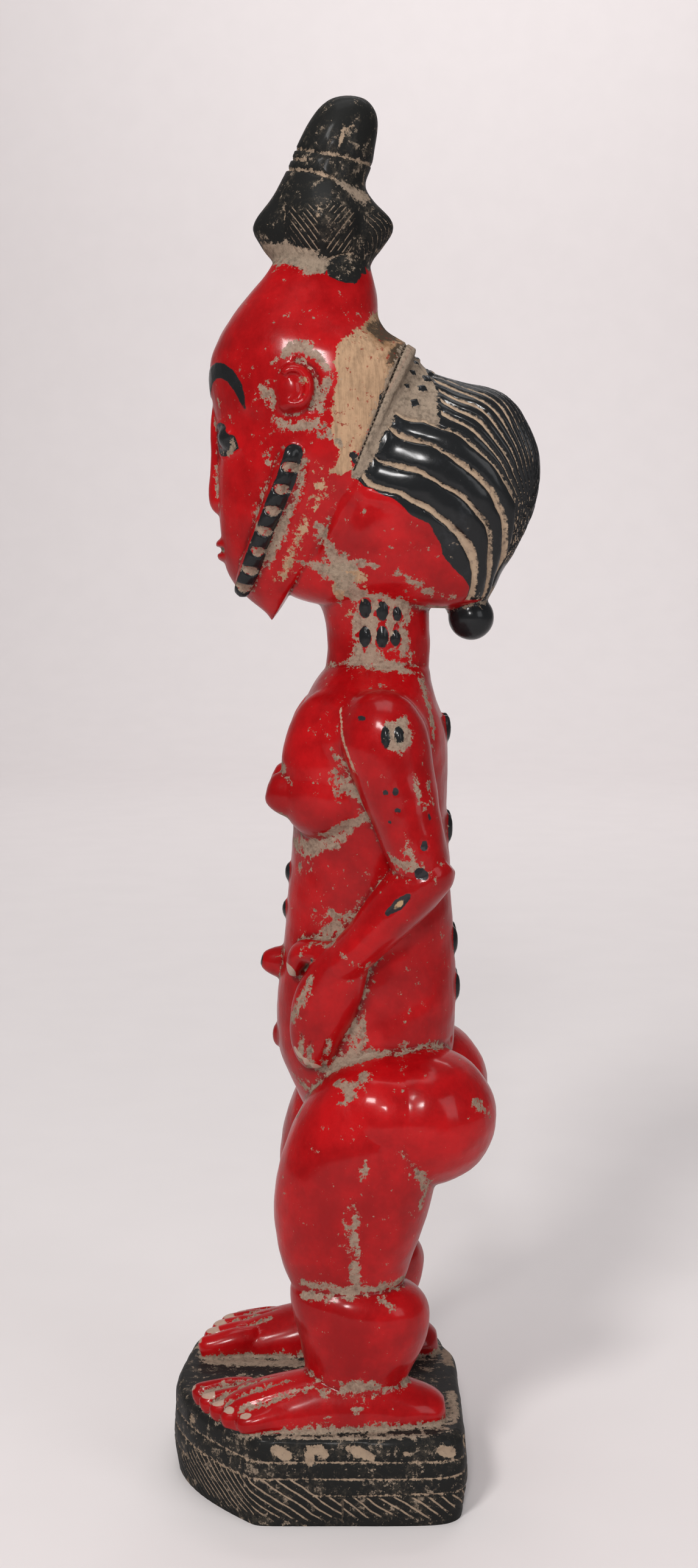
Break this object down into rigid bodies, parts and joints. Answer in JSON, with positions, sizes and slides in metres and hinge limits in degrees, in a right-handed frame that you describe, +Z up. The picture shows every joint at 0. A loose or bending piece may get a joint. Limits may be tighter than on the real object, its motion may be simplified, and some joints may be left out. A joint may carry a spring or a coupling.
{
  "type": "carved wooden figure",
  "caption": "Standing female figure with long scarified trunk, hands on belly and crested coiffure, carved with its base from one block of painted wood.",
  "frame": {"origin": "on the underside of the base, at the middle of its plan", "axes": "+Z up through the figure, -Y the way the face looks, +X her left side"},
  "size_m": [0.0922, 0.1193, 0.4451],
  "materials": {
    "painted_wood": "gloss"
  },
  "bodies": {
    "root": {"figure": "painted_wood"}
  },
  "joints": []
}
